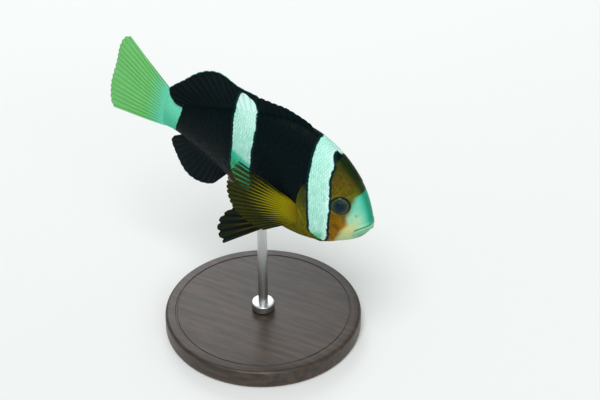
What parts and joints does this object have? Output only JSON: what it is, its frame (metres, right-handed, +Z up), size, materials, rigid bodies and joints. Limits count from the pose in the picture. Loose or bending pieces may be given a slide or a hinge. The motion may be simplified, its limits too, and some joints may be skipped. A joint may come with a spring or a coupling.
{
  "type": "clownfish model on a display stand",
  "caption": "Still life-size clownfish, dark with pale bars, nose down and tail swung left, on a round flat base with one short rod",
  "frame": {"origin": "middle of the underside of the round base, on the rod's axis", "axes": "+Z up, the fish's head towards +X, its left side towards +Y"},
  "size_m": [0.1096, 0.072, 0.1043],
  "materials": {
    "skin": "dark scaled skin with pale mint bars, orange-olive face and cream lips, slightly wet sheen",
    "fin_dark": "thin black fin with fine rays and a faint pale margin",
    "fin_yellow": "golden rays with dusky membranes",
    "fin_pale": "pale mint fin with fine rays",
    "eye": "clear glossy eye, blue-black pupil",
    "stand_wood": "dark satin wood",
    "stand_metal": "brushed"
  },
  "bodies": {
    "root": {"head": "skin", "lower_jaw": "skin", "gill_cover_left": "skin", "gill_cover_right": "skin", "trunk": "skin", "tail_base": "skin", "dorsal_fin_spiny": "fin_dark", "dorsal_fin_soft": "fin_dark", "anal_fin": "fin_dark", "pelvic_fin_left": "fin_dark", "pelvic_fin_right": "fin_dark", "pectoral_fin_left": "fin_yellow", "pectoral_fin_right": "fin_yellow", "tail_fin": "fin_pale", "eye_left": "eye", "eye_right": "eye", "stand_base": "stand_wood", "stand_collar": "stand_metal", "stand_rod": "stand_metal"}
  },
  "joints": []
}
